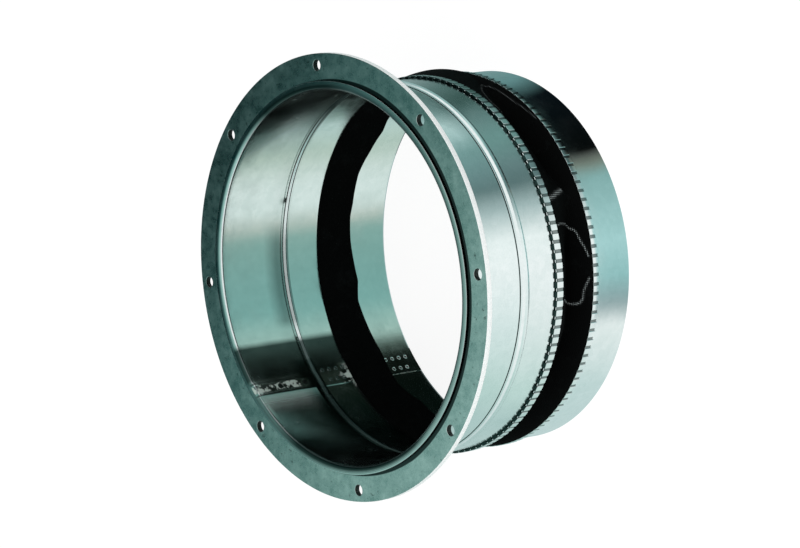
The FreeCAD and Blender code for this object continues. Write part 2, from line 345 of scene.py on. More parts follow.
def galvanisedSheet(name, look):
    material, tree, shader = newMaterial(name)
    place = objectPlace(tree)
    blotch = noiseNode(tree, place, *look["blotch"])
    grain = noiseNode(tree, place, *look["grain"])
    rolled = noiseNode(tree, stretchNode(tree, place, look["rolledStretch"]), *look["rolled"])
    spangle = addNode(tree, "ShaderNodeTexVoronoi", {"Vector": place, "Scale": look["spangle"]})
    cells = addNode(tree, "ShaderNodeSeparateColor", {0: spangle.outputs["Color"]}).outputs[0]
    tone = weightedSum(tree, (blotch, cells, grain, rolled), look["weights"])
    colour = mixColour(tree, fadeBetween(tree, tone, look["toneRange"]), look["pale"], look["dark"])
    # above nought the mark darkens the metal: painted shade, and stain round the welds; below nought
    # it is darkened and gets pale patches, partly painted highlights
    mark = attributeNode(tree, "mark")
    pressed = mathNode(tree, "MAXIMUM", mark, 0.0)
    paleMark = mathNode(tree, "MAXIMUM", multiply(tree, mark, -1.0), 0.0)
    patches = noiseNode(tree, place, *look["patches"])
    patches = mathNode(tree, "ADD", patches, multiply(tree, paleMark, look["patchGrowth"]))
    paleAndPaintedHighlight = multiply(tree, paleMark, fadeBetween(tree, patches, look["patchRange"]))
    darkened = mathNode(tree, "MAXIMUM", pressed, multiply(tree, paleMark, look["paleMarkDark"]))
    colour = mixColour(tree, darkened, colour, look["pressed"])
    colour = mixColour(tree, paleAndPaintedHighlight, colour, look["paleAndPaintedHighlight"])
    # flaring the lip drew fine rings into the sheet there
    outwards = axisDistance(tree, place)
    height = splitNode(tree, place)[2]
    rings = mathNode(tree, "SINE", multiply(tree, outwards, 2 * math.pi / look["lipRingPitch"]))
    ringed = multiply(tree, mathNode(tree, "GREATER_THAN", outwards, look["lipRingsFrom"]),
                      mathNode(tree, "GREATER_THAN", height, duct["lipTop"] - look["lipRingDepth"]),
                      mapRange(tree, rings, -1.0, 1.0, *look["lipRingShade"]))
    colour = mixColour(tree, ringed, colour, look["pressed"])
    # a painted sheen on the inside just below the sleeve's lap
    below = mathNode(tree, "SUBTRACT", axisSweep(tree, place), duct["lapAngle"] / 360 + 0.5)
    fade = mapRange(tree, below, 0.0, look["paintedSheenSpan"] / 360, 1.0, 0.0)
    paintedSheen = multiply(tree, mathNode(tree, "POWER", fade, look["paintedSheenFade"]),
                      mathNode(tree, "GREATER_THAN", below, 0.0),
                      mathNode(tree, "LESS_THAN", outwards, duct["bore"] + duct["sleeveWall"] / 2),
                      mathNode(tree, "GREATER_THAN", height, duct["stripTop"]), look["paintedSheenShare"])
    colour = mixColour(tree, paintedSheen, colour, look["paintedSheen"])
    rough = mapRange(tree, blotch, *look["blotchRange"], *look["roughness"])
    rough = mathNode(tree, "ADD", rough, multiply(tree, pressed, look["pressedRoughness"]))
    rough = mathNode(tree, "MAXIMUM", rough, multiply(tree, paleAndPaintedHighlight, look["paleAndHighlightRoughness"]))
    rough = mathNode(tree, "MAXIMUM", rough, multiply(tree, paintedSheen, look["paintedSheenRoughness"]))
    matteAndPaintedShade = multiply(tree, mathNode(tree, "MAXIMUM", paleAndPaintedHighlight, paintedSheen), look["metalLoss"])
    setInputs(tree, shader, {"Base Color": colour, "Roughness": rough,
                             "Metallic": mathNode(tree, "SUBTRACT", 1.0, matteAndPaintedShade),
                             "Normal": bumpNode(tree, blotch, look)})
    return material


flangeLook = {
    "pale": (0.74, 0.80, 0.78, 1),
    "dark": (0.34, 0.44, 0.43, 1),
    "mottle": (85.0, 6.0, 0.68),
    "mottleRange": (0.3, 0.7),
    "wide": (18.0, 3.0, 0.5),
    "grain": (700.0, 2.0, 0.6),
    "weights": (0.8, 0.25, 0.30),  # of the mottle, the wide clouds and the grain
    "toneRange": (0.50, 0.86),
    "specks": (190.0, 4.0, 0.65),
    "speckRange": (0.63, 0.72),
    "speckShare": 0.8,
    "grimeAndPaintedShade": (0.035, 0.05, 0.05, 1),
    "paintedShadowEdge": 168.7 * mm,
    "paintedShadowFade": 0.9 * mm,
    "paintedShadowUneven": 0.6 * mm,
    "paintedShadowLoss": 3.4 * mm,
    "paintedShadowSide": (0.45, -0.05),
    "roughness": (0.38, 0.22),
    "bump": 0.2,
    "bumpHeight": 0.6 * mm,
    "grainBump": 0.4,
}


def mottledPlate(name, look):
    # rolled plate with mottled zinc and dark specks, and a painted shadow beside the lip, most on
    # the +X side
    material, tree, shader = newMaterial(name)
    place = objectPlace(tree)
    mottle = noiseNode(tree, place, *look["mottle"])
    wide = noiseNode(tree, place, *look["wide"])
    grain = noiseNode(tree, place, *look["grain"])
    tone = weightedSum(tree, (mottle, wide, grain), look["weights"])
    colour = mixColour(tree, fadeBetween(tree, tone, look["toneRange"]), look["pale"], look["dark"])
    specks = noiseNode(tree, place, *look["specks"])
    specks = fadeBetween(tree, specks, look["speckRange"], look["speckShare"])
    colour = mixColour(tree, specks, colour, look["grimeAndPaintedShade"])
    # painted shadow on the face beside the lip, narrower away from +X
    outwards = axisDistance(tree, place)
    sideways = mathNode(tree, "DIVIDE", splitNode(tree, place)[0], outwards)
    hidden = mapRange(tree, sideways, *look["paintedShadowSide"], 0.0, look["paintedShadowLoss"])
    uneven = mathNode(tree, "ADD", outwards, multiply(tree, mottle, look["paintedShadowUneven"]))
    grimeAndPaintedShade = mapRange(tree, mathNode(tree, "ADD", uneven, hidden), look["paintedShadowEdge"],
                     look["paintedShadowEdge"] + look["paintedShadowFade"], 1.0, 0.0, "SMOOTHSTEP")
    rough = mapRange(tree, mottle, *look["mottleRange"], *look["roughness"])
    rise = mathNode(tree, "ADD", mottle, multiply(tree, grain, look["grainBump"]))
    setInputs(tree, shader, {"Base Color": mixColour(tree, grimeAndPaintedShade, colour, look["grimeAndPaintedShade"]),
                             "Roughness": rough, "Metallic": 1.0,
                             "Normal": bumpNode(tree, rise, look)})
    return material


# the turned rim of the plate, with fine streaks left by the cutter, painted near white as a
# highlight; and burnt weld metal, which also paints shade on the walls of the flange's holes and
# bore
rimHighlightLook = {
    "pale": (0.96, 0.98, 0.97, 1),
    "dark": (0.86, 0.91, 0.91, 1),
    "mottle": (900.0, 3.0, 0.6),
    "stretch": (1, 1, 0.25),
    "toneRange": (0.42, 0.72),
    "roughness": 0.45,
    "metallic": 0.1,
    "bump": 0.0,
    "bumpHeight": 0.0,
}
weldAndShadeLook = {
    "pale": (0.008, 0.010, 0.010, 1),
    "dark": (0.07, 0.08, 0.075, 1),
    "mottle": (900.0, 4.0, 0.6),
    "stretch": (1, 1, 1),
    "toneRange": (0.35, 0.7),
    "roughness": 0.5,
    "metallic": 1.0,
    "bump": 0.4,
    "bumpHeight": 0.2 * mm,
}


def workedMetal(name, look):
    material, tree, shader = newMaterial(name)
    place = stretchNode(tree, objectPlace(tree), look["stretch"])
    mottle = noiseNode(tree, place, *look["mottle"])
    factor = fadeBetween(tree, mottle, look["toneRange"])
    setInputs(tree, shader, {"Base Color": mixColour(tree, factor, look["pale"], look["dark"]),
                             "Roughness": look["roughness"], "Metallic": look["metallic"]})
    if look["bump"]:
        setInputs(tree, shader, {"Normal": bumpNode(tree, mottle, look)})
    return material


fabricLook = {
    "colour": (0.0008, 0.0010, 0.0010, 1),
    "dusty": (0.004, 0.005, 0.005, 1),
    "dust": (60.0, 5.0, 0.7),
    "dustRange": (0.55, 0.80),
    "paintedGlint": (0.38, 0.43, 0.43, 1),
    "paintedGlintRange": (0.0, 0.7),
    "roughness": 0.75,
    "specular": 0.05,
    "ribPitch": 1.6 * mm,
    "bump": 0.5,
    "bumpHeight": 0.15 * mm,
}


def coatedFabric(name, look):
    # ribs run both ways along the cloth; pale dashes of painted glint lie along the pinched lines
    material, tree, shader = newMaterial(name)
    cloth = splitNode(tree, attributeNode(tree, "clothPlace", "Vector"))
    ribTurns = 2 * math.pi / look["ribPitch"]
    roundRibs = mathNode(tree, "SINE", multiply(tree, cloth[0], ribTurns))
    longRibs = mathNode(tree, "SINE", multiply(tree, cloth[1], ribTurns))
    dust = noiseNode(tree, objectPlace(tree), *look["dust"])
    dust = fadeBetween(tree, dust, look["dustRange"])
    colour = mixColour(tree, dust, look["colour"], look["dusty"])
    dashes = mapRange(tree, mathNode(tree, "ADD", roundRibs, longRibs), *look["paintedGlintRange"])
    paintedGlint = multiply(tree, attributeNode(tree, "mark"), dashes)
    ribs = mathNode(tree, "MAXIMUM", roundRibs, longRibs)
    setInputs(tree, shader, {"Base Color": mixColour(tree, paintedGlint, colour, look["paintedGlint"]),
                             "Roughness": look["roughness"], "Specular IOR Level": look["specular"],
                             "Normal": bumpNode(tree, ribs, look)})
    return material


sheetSteel = galvanisedSheet("galvanisedSheet", galvanisedLook)
flangeSteel = mottledPlate("mottledFlangeSteel", flangeLook)
flangeRimHighlight = workedMetal("flangeRimHighlight", rimHighlightLook)
blackFabric = coatedFabric("coatedFabric", fabricLook)
weldAndHoleShade = workedMetal("burntWeldAndPaintedShade", weldAndShadeLook)
print("finishes made")


# the rolled bead near the sleeve's foot, which the front strip's own bead fits over
beadSize = {"rise": 1.8 * mm, "crown": 3.2 * mm, "foot": 2.5 * mm, "fromFoot": 5.7 * mm}
beadReach = beadSize["crown"] + beadSize["foot"]
beadHalf = math.sqrt(2 * beadSize["rise"] * beadReach - beadSize["rise"] ** 2)
beadSlope = math.degrees(math.atan2(beadHalf, beadReach - beadSize["rise"]))
beadMiddle = duct["sleeveFoot"] + beadSize["fromFoot"]


def beadPoints(offset, middle, side, steps=7):
    # three tangent arcs over the bead, for the face that lies offset outside the bore
    foot = duct["bore"] + beadSize["foot"]
    crown = duct["bore"] + beadSize["rise"] - beadSize["crown"]
    footRadius, crownRadius = beadSize["foot"] - offset, beadSize["crown"] + offset
    half, slope = side * beadHalf, side * beadSlope
    first = arcPoints(foot, middle - half, footRadius, 180, 180 - slope, steps)
    over = arcPoints(crown, middle, crownRadius, -slope, slope, 2 * steps)
    last = arcPoints(foot, middle + half, footRadius, 180 + slope, 180, steps)
    return first + over[1:] + last[1:]


# front sleeve: rolled tube, bead, flared lip, lap seam and spot welds
sleeveSize = {
    "lipBend": 2.4 * mm,
    "bendSteps": (10, 8),  # inside and outside
    "edgeRound": 0.3 * mm,
    "edgeSteps": 3,
    "straightRows": 5,
    "straightEnd": 4 * mm,
    "columns": 720,
    "creviceRows": (1.0 * mm, 0.65 * mm, 0.3 * mm, -0.4 * mm, -0.8 * mm),
    "creviceShade": (-0.5 * mm, 0.7 * mm),
    # the waviness fades towards the lip, from this far below it, and this share stays
    "waveFade": 20 * mm,
    "waveLeft": 0.2,
    "lapWidth": 14 * mm,
    "lapWall": 0.7 * mm,
    "lapReach": 0.4,  # how far round the bend the lap goes, as a share of its radius
    "lapFade": 3.2 * mm,
    "lapFadeCurve": 0.7,
    "lapSink": 0.4,
    # painted shade as angles in degrees and shares: in the bead, and in the lip's bend
    "beadPaintedShadeReach": 2.2,
    "beadPaintedShade": ((-180, -165, -162, -155, -151, -60, 60, 122, 130, 163, 170, 180),
                  (0.55, 0.5, 0.1, 0.1, 0.97, 0.97, 0.97, 0.6, 0.08, 0.08, 0.5, 0.55)),
    "bendPaintedShade": ((-180, -146, -140, 112, 126, 180), (0.08, 0.08, 0.55, 0.55, 0.08, 0.08)),
    # the lap's pad gets pale patches in the middle and is darkened at its sides
    "padShares": (0.55, 0.70),
    "padMarks": (-0.8, 0.8),
    # where the inside gets painted shade, as angles and shares: beside the lap, and at the top
    "paintedShadeAngles": ((-159.5, -157.5, -147, -144, -139, -128, -118, -60, -40),
                   (0, 0.93, 0.9, 0, 0.2, 0.6, 0.96, 0.96, 0)),
    "topPaintedShadeAngles": ((60, 85, 117, 128, 142), (0, 0.96, 0.96, 0.45, 0)),
    # a weld's rings, as shares of its radius and their rise
    "weldRadius": 2.7 * mm,
    "weldRings": ((1, -0.05 * mm), (0.86, 0.12 * mm), (0.55, 0.05 * mm), (0.25, 0.03 * mm)),
    "lapWeldHeights": (157 * mm, 130 * mm),
    "beadWeldAngle": 21.4,
    "beadWeldCount": 8,
    "beadWeldScale": 0.8,
    "burnShift": 1.6 * mm,
    "burnSpan": 3.0 * mm,
}


def frontSleeveSection():
    size, wall, bend = sleeveSize, duct["sleeveWall"], sleeveSize["lipBend"]
    bore, foot, top, lip = duct["bore"], duct["sleeveFoot"], duct["lipTop"], duct["lipRadius"]
    bendHeight = top - wall - bend
    centre = bore + wall + bend
    straight = (beadMiddle + 2 * beadHalf, bendHeight - size["straightEnd"], size["straightRows"])
    insideSteps, outsideSteps = size["bendSteps"]
    edge, edgeSteps = size["edgeRound"], size["edgeSteps"]
    section = [(bore, foot)]
    section += beadPoints(0, beadMiddle, 1)
    section += [(bore, height) for height in np.linspace(*straight)]
    section += arcPoints(centre, bendHeight, bend + wall, 180, 90, insideSteps)
    insideCount = len(section)
    section += arcPoints(lip - edge, top - edge, edge, 90, 0, edgeSteps)
    section += arcPoints(lip - edge, top - wall + edge, edge, 0, -90, edgeSteps)
    section += arcPoints(centre, bendHeight, bend, 90, 180, outsideSteps)
    section += [(bore + wall, duct["stripTop"] + rise) for rise in size["creviceRows"]]
    section += beadPoints(wall, beadMiddle, -1)
    section.append((bore + wall, foot))
    return section, insideCount


def buildFrontSleeve():
    size = sleeveSize
    lapEnd = duct["lapAngle"]
    lapStart = lapEnd - math.degrees(size["lapWidth"] / duct["bore"])
    lapMiddle = (lapStart + lapEnd) / 2
    turns = np.linspace(-math.pi, math.pi, size["columns"], endpoint=False)
    turns = lapTurns(turns, lapStart, lapEnd)
    bendHeight = duct["lipTop"] - duct["sleeveWall"] - size["lipBend"]
    centre = duct["bore"] + duct["sleeveWall"] + size["lipBend"]
    section, insideCount = frontSleeveSection()
    inside = (np.arange(len(section)) < insideCount)[None, :]
    shadeLow, shadeHigh = (duct["stripTop"] + reach for reach in size["creviceShade"])
    weldPitch = 360 / size["beadWeldCount"]

    def change(turn, radius, height):
        calm = np.clip((bendHeight - height) / size["waveFade"] + size["waveLeft"], 0, 1)
        flat = radius < centre - size["lapReach"] * size["lipBend"]
        share = lapShare(turn, lapStart, lapEnd) * inside * flat
        above = np.clip((height - bendHeight) / size["lapFade"], 0, 1)
        tilt = np.arctan2(height - bendHeight, centre - radius)
        lift = share * size["lapWall"] * (1 - above) ** size["lapFadeCurve"]
        push = np.where(height > bendHeight, np.cos(tilt), 1.0)
        rise = np.where(height > bendHeight, np.sin(tilt), 0.0)
        # painted shade on the sleeve's outside where the front strip's top edge meets it
        shaded = ~inside & (height > shadeLow) & (height < shadeHigh)
        # painted shade in the bead and the lip's bend, most beside and below the lap
        degrees = np.degrees(turn)
        atBead = np.abs(height - beadMiddle) < size["beadPaintedShadeReach"] * beadHalf
        grimeAndPaintedShade = inside * (atBead * np.interp(degrees, *size["beadPaintedShade"])
                          + (height > bendHeight) * np.interp(degrees, *size["bendPaintedShade"]))
        # each weld in the bead has burnt the sheet round it
        around = (degrees - size["beadWeldAngle"] + weldPitch / 2) % weldPitch - weldPitch / 2
        away = np.hypot(np.radians(around) * duct["bore"], height - beadMiddle - size["burnShift"])
        burnt = inside * np.exp(-(away / size["burnSpan"]) ** 2)
        pad = share * (height > beadMiddle + 2 * beadHalf)
        aside = np.abs(degrees - lapMiddle) / ((lapEnd - lapStart) / 2)
        padMark = np.interp(aside, size["padShares"], size["padMarks"])
        # painted shade on the inside, beside the lap and at the top
        matteAndPaintedShade = inside * np.interp(degrees, *size["paintedShadeAngles"])
        matteAndPaintedShade = matteAndPaintedShade + inside * np.interp(degrees, *size["topPaintedShadeAngles"])
        marks = np.maximum(np.maximum(grimeAndPaintedShade, shaded), np.maximum(matteAndPaintedShade, burnt))
        marks = np.where(pad > 0.5, padMark, marks)
        radius = radius - lift * push + sheetWave(turn, height) * calm
        return radius, height + lift * rise * size["lapSink"], marks

    shells = [(*spinSection(section, turns, change), 0)]
    rings = [(size["weldRadius"] * share, rise) for share, rise in size["weldRings"]]
    for height in size["lapWeldHeights"]:
        shells.append((*roundMark(lapMiddle, height, duct["bore"] - size["lapWall"], -1, rings), 1))
    crown = duct["bore"] + beadSize["rise"]
    small = [(distance * size["beadWeldScale"], rise) for distance, rise in rings]
    for number in range(size["beadWeldCount"]):
        angle = size["beadWeldAngle"] + weldPitch * number
        shells.append((*roundMark(angle, beadMiddle, crown, -1, small), 1))
    sleeve = joinShells("frontSleeve", shells, [sheetSteel, weldAndHoleShade])
    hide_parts("front_sleeve")
    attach(sleeve, "sleeve")


buildFrontSleeve()


# strips: plain collar or beaded band, with the folded and crimped hem
stripSize = {
    "hemWidth": 7.6 * mm,
    "pocket": 1.1 * mm,
    "coverWall": 0.8 * mm,
    "edgeRound": 0.2 * mm,
    # how many steps each curve of the section takes
    "beadSteps": 5,
    "bendSteps": 6,
    "pocketSteps": 5,
    "edgeSteps": 2,
    "coverSteps": 3,
    "foldSteps": 7,
    "insideShares": (0.92, 0.08, 8),  # rows along the inside: first, last and how many
    "lapStep": 0.05 * mm,
    "foldStart": 0.1 * mm,
    "teeth": 128,
    "notchDepth": 0.5 * mm,
    "scallop": 0.8 * mm,
    # within one tooth: where the columns lie, and where a notch's floor and top end
    "columnPhases": (0, 0.145, 0.195, 0.23, 0.5, 0.77, 0.805, 0.855),
    "notchFloor": 0.145,
    "notchTop": 0.195,
    "notchShade": 0.75,
    "creviceReach": 0.15 * mm,
    "creviceEnd": 0.4 * mm,
    "creviceFold": 8,
    "rearPaintedShadeAngles": ((-151, -146, -60, -40), (0, 0.7, 0.85, 0)),
    "lapWidth": 24 * mm,
    "freeEdgeReach": 0.1,
    "freeEdgeMark": -1.3,
    # a painted reflection patch on the front strip's inside near the lap: where, how far round and
    # up, and how strongly it replaces other marks
    "reflectionPatchAngle": -142.9,
    "reflectionPatchHeight": 80.5 * mm,
    "reflectionPatchAround": 11.0 * mm,
    "reflectionPatchUp": 8.0 * mm,
    "reflectionPatchEdge": 0.2,
    "reflectionPatchStrength": 1.2,
    # clinch buttons: rings as shares of the radius and their rise; rows as distance and count
    "clinchRadius": 2.1 * mm,
    "clinchRings": ((1, -0.05 * mm), (0.92, 0.22 * mm), (0.76, 0.30 * mm), (0.60, 0.22 * mm),
                    (0.45, -0.08 * mm), (0.2, -0.12 * mm)),
    "clinchBack": (0.8, 0.4),  # how much narrower and flatter they are on the outside
    "clinchShades": {1: 0.8, -1: 0.0},
    "clinchPitch": 7.6 * mm,
    "clinchRows": ((5.8 * mm, 3), (16.3 * mm, 4)),
}


def stripSection(mouth, direction, width, lapEnd, beadAt):
    # radius and height round the strip's section, and what each point belongs to
    size = stripSize
    inner, outer, wall = duct["stripInner"], duct["stripOuter"], duct["stripWall"]
    pocketInner = outer + wall
    pocketOuter = pocketInner + size["pocket"]
    hemOuter = pocketOuter + size["coverWall"]
    middle = (pocketInner + pocketOuter) / 2
    foldRadius = hemOuter - middle
    foldCentre = size["hemWidth"] - foldRadius
    foldEnd = size["hemWidth"] + size["creviceReach"]
    edge = size["edgeRound"]
    section, part = [], []

    def add(points, label):
        section.extend(points)
        part.extend([label] * len(points))

    add([(inner, width)], "inside")
    if beadAt:
        add(beadPoints(inner - duct["bore"], beadAt, -1, size["beadSteps"]), "plain")
    add([(inner, lapEnd + size["lapStep"]), (inner, lapEnd - size["lapStep"])], "inside")
    add([(inner, lapEnd * share) for share in np.linspace(*size["insideShares"])], "inside")
    add([(inner, wall + size["foldStart"])], "inside")
    add(arcPoints(outer, wall, wall, 180, 360, size["bendSteps"])[1:], "plain")
    add(arcPoints(middle, foldCentre, size["pocket"] / 2, 180, 0, size["pocketSteps"]), "plain")
    add([(pocketOuter, edge)], "plain")
    add(arcPoints(pocketOuter + edge, edge, edge, 180, 270, size["edgeSteps"]), "plain")
    add(arcPoints(hemOuter - edge, edge, edge, 270, 360, size["coverSteps"]), "cover")
    add([(hemOuter, foldCentre / 2)], "cover")
    add(arcPoints(middle, foldCentre, foldRadius, 0, 90, size["foldSteps"]), "fold")
    add([((middle + outer) / 2, size["hemWidth"]), (outer, size["hemWidth"])], "fold")
    add([(outer, foldEnd)], "crevice")
    add([(outer, foldEnd + size["creviceEnd"])], "plain")
    if beadAt:
        slack = (beadAt - 2 * beadHalf - size["hemWidth"]) / 3
        add([(outer, size["hemWidth"] + slack)], "outside")
        add(beadPoints(outer - duct["bore"], beadAt, 1, size["beadSteps"]), "outside")
    add([(outer, width - edge)], "outside")
    add(arcPoints(outer - edge, width - edge, edge, 0, 90, size["edgeSteps"]), "outside")
    placed = [(radius, mouth + direction * along) for radius, along in section]
    return placed, np.array(part), hemOuter


def toothTurns():
    teeth = stripSize["teeth"]
    turns = [2 * math.pi * (tooth + phase) / teeth for tooth in range(teeth)
             for phase in stripSize["columnPhases"]]
    return (np.array(turns) + math.pi) % (2 * math.pi) - math.pi


def notchShare(turn):
    # one on a notch's floor, nought between two notches
    phase = np.abs((turn * stripSize["teeth"] / (2 * math.pi) + 0.5) % 1 - 0.5)
    floor, top = stripSize["notchFloor"], stripSize["notchTop"]
    return np.clip((top - phase) / (top - floor), 0, 1)


def buildStrip(name, node, body, mouth, direction, width, lapEnd, beadAt):
    # direction is 1 for the strip in front of the fabric and -1 for the collar behind it
    size = stripSize
    section, part, hemOuter = stripSection(mouth, direction, width, lapEnd, beadAt)
    lapStop = duct["lapAngle"]
    lapStart = lapStop - math.degrees(size["lapWidth"] / duct["stripInner"])
    turns = lapTurns(toothTurns(), lapStart, lapStop)
    along = np.array([abs(height - mouth) for radius, height in section])
    inside = (part == "inside")[None, :]
    lapped = inside & (along < lapEnd)[None, :]
    cover = np.isin(part, ("cover", "fold"))[None, :]
    fold = (part == "fold")[None, :]
    # the front hem shades the foot of its fold; the rear hem's fold faces the light
    crevice = np.zeros((1, len(part)))
    crevice[0, np.flatnonzero(part == "fold")[-size["creviceFold"]:]] = 1
    crevice = np.maximum(crevice, (part == "crevice")[None, :]) * (direction > 0)
    reflectionPatchTurn = math.radians(size["reflectionPatchAngle"])

    def change(turn, radius, height):
        notch = notchShare(turn)
        outwards = np.clip((radius - duct["stripOuter"]) / (hemOuter - duct["stripOuter"]), 0, 1)
        radius = radius - cover * notch * size["notchDepth"] * outwards
        height = height - fold * notch * size["scallop"] * direction
        radius = radius - lapped * lapShare(turn, lapStart, lapStop) * duct["stripWall"]
        # painted shade on the notch floors and in the front hem's crevice
        marks = np.maximum(cover * notch * size["notchShade"], crevice)
        # a painted reflection patch on the front strip's inside
        around = (turn - reflectionPatchTurn) * duct["stripInner"] / size["reflectionPatchAround"]
        upwards = (height - size["reflectionPatchHeight"]) / size["reflectionPatchUp"]
        reflectionPatch = inside * np.exp(-around ** 2 - upwards ** 2) * (direction > 0)
        # painted shade on the strips' insides, by angle
        paintedShadeAngles = sleeveSize["paintedShadeAngles"] if direction > 0 else size["rearPaintedShadeAngles"]
        marks = np.maximum(marks, inside * np.interp(np.degrees(turn), *paintedShadeAngles))
        # painted highlight along the rear lap's free edge
        atEdge = np.abs(np.degrees(turn) - lapStop) < size["freeEdgeReach"]
        marks = np.where(lapped & atEdge & (direction < 0), size["freeEdgeMark"], marks)
        marks = marks * (reflectionPatch < size["reflectionPatchEdge"]) - size["reflectionPatchStrength"] * reflectionPatch
        return radius + sheetWave(turn, height), height, marks

    shells = [(*spinSection(section, turns, change), 0)]
    narrower, flatter = size["clinchBack"]
    button = [(size["clinchRadius"] * share, rise) for share, rise in size["clinchRings"]]
    back = [(distance * narrower, rise * flatter) for distance, rise in button]
    face = duct["stripInner"] - duct["stripWall"]
    centre = (duct["stripWall"] + lapEnd) / 2
    for away, count in size["clinchRows"]:
        angle = lapStop - math.degrees(away / duct["stripInner"])
        for number in range(count):
            spot = centre + (number - (count - 1) / 2) * size["clinchPitch"]
            height = mouth + direction * spot
            shade = size["clinchShades"][direction]
            shells.append((*roundMark(angle, height, face, -1, button, shade), 0))
            shells.append((*roundMark(angle, height, duct["stripOuter"], 1, back), 0))
    strip = joinShells(name, shells, [sheetSteel])
    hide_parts(node)
    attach(strip, body)


lapClear = {"front": 0.1 * mm, "rear": 0.3 * mm}  # how far each lap stops from what it faces
frontLength = {
    "strip": duct["stripTop"] - duct["frontMouth"],
    "lap": duct["sleeveFoot"] - duct["frontMouth"] - lapClear["front"],
    "bead": beadMiddle - duct["frontMouth"],
}
buildStrip("frontStrip", "front_strip", "sleeve", duct["frontMouth"], 1,
           frontLength["strip"], frontLength["lap"], frontLength["bead"])
buildStrip("rearStrip", "rear_strip", "collar", duct["rearMouth"], -1,
           duct["rearMouth"], duct["rearMouth"] - lapClear["rear"], None)
print("strips made")


# flange ring: plate with eight holes, edges just broken
flangeSize = {
    "edge": 0.4 * mm,
    "bevelSteps": 2,
    "clearance": 0.5 * mm,  # round the sleeve
    "circleSteps": 48,
    "holeSteps": 8,
    "roundHandle": 0.5523,  # makes four Bezier corners into a circle
    "rimReach": 1.05,
    "rimNormal": 0.95,
    "sideNormal": 0.6,
    "sharpAngle": 40,
}


def addCircle(outline, x, y, radius, steps):
    spline = outline.splines.new("BEZIER")
    spline.bezier_points.add(3)
    spline.use_cyclic_u = True
    spline.resolution_u = steps
    for corner, point in enumerate(spline.bezier_points):
        turn = math.pi / 2 * corner
        outward = Vector((math.cos(turn), math.sin(turn), 0))
        onward = Vector((-math.sin(turn), math.cos(turn), 0)) * radius * flangeSize["roundHandle"]
        point.co = Vector((x, y, 0)) + outward * radius
        point.handle_left = point.co - onward
        point.handle_right = point.co + onward


def buildFlange():
    size = flangeSize
    low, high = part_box("flange_ring")
    pattern = mounts["flange_bolts"]["dims"]
    edge = size["edge"]
    outline = bpy.data.curves.new("flangeOutline", "CURVE")
    outline.dimensions = "2D"
    outline.fill_mode = "BOTH"
    outline.extrude = (high.z - low.z) / 2 - edge
    outline.bevel_depth = edge
    outline.bevel_resolution = size["bevelSteps"]
    outline.offset = -edge
    for radius in (high.x, duct["bore"] + duct["sleeveWall"] + size["clearance"]):
        addCircle(outline, 0, 0, radius, size["circleSteps"])
    holeCount, reach = int(pattern["count"]), pattern["pcd_mm"] * mm / 2
    for number in range(holeCount):
        turn = 2 * math.pi * number / holeCount
        x, y = reach * math.cos(turn), reach * math.sin(turn)
        addCircle(outline, x, y, pattern["hole_r_mm"] * mm, size["holeSteps"])
    drawn = addObject("flangeOutline", outline)
    bpy.context.view_layer.update()
    evaluated = drawn.evaluated_get(bpy.context.evaluated_depsgraph_get())
    mesh = bpy.data.meshes.new_from_object(evaluated)
    bpy.data.objects.remove(drawn)
    mesh.transform(Matrix.Translation((0, 0, (low.z + high.z) / 2)))
    mesh.materials.clear()
    for material in (flangeSteel, flangeRimHighlight, weldAndHoleShade):
        mesh.materials.append(material)
    for polygon in mesh.polygons:
        # the outer rim gets the painted highlight; the walls of the holes and the bore get the
        # near-black weld finish as painted shade
        atRim = polygon.center.xy.length > high.x - size["rimReach"] * edge
        polygon.material_index = int(atRim and abs(polygon.normal.z) < size["rimNormal"])
        if not atRim and abs(polygon.normal.z) < size["sideNormal"]:
            polygon.material_index = 2
    mesh.shade_smooth()
    mesh.set_sharp_from_angle(angle=math.radians(size["sharpAngle"]))
    ring = addObject("flangeRing", mesh)
    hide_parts("flange_ring")
    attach(ring, "flange")
    print("flangeRing", len(mesh.polygons), "faces", [round(v, 5) for v in ring.dimensions])


buildFlange()


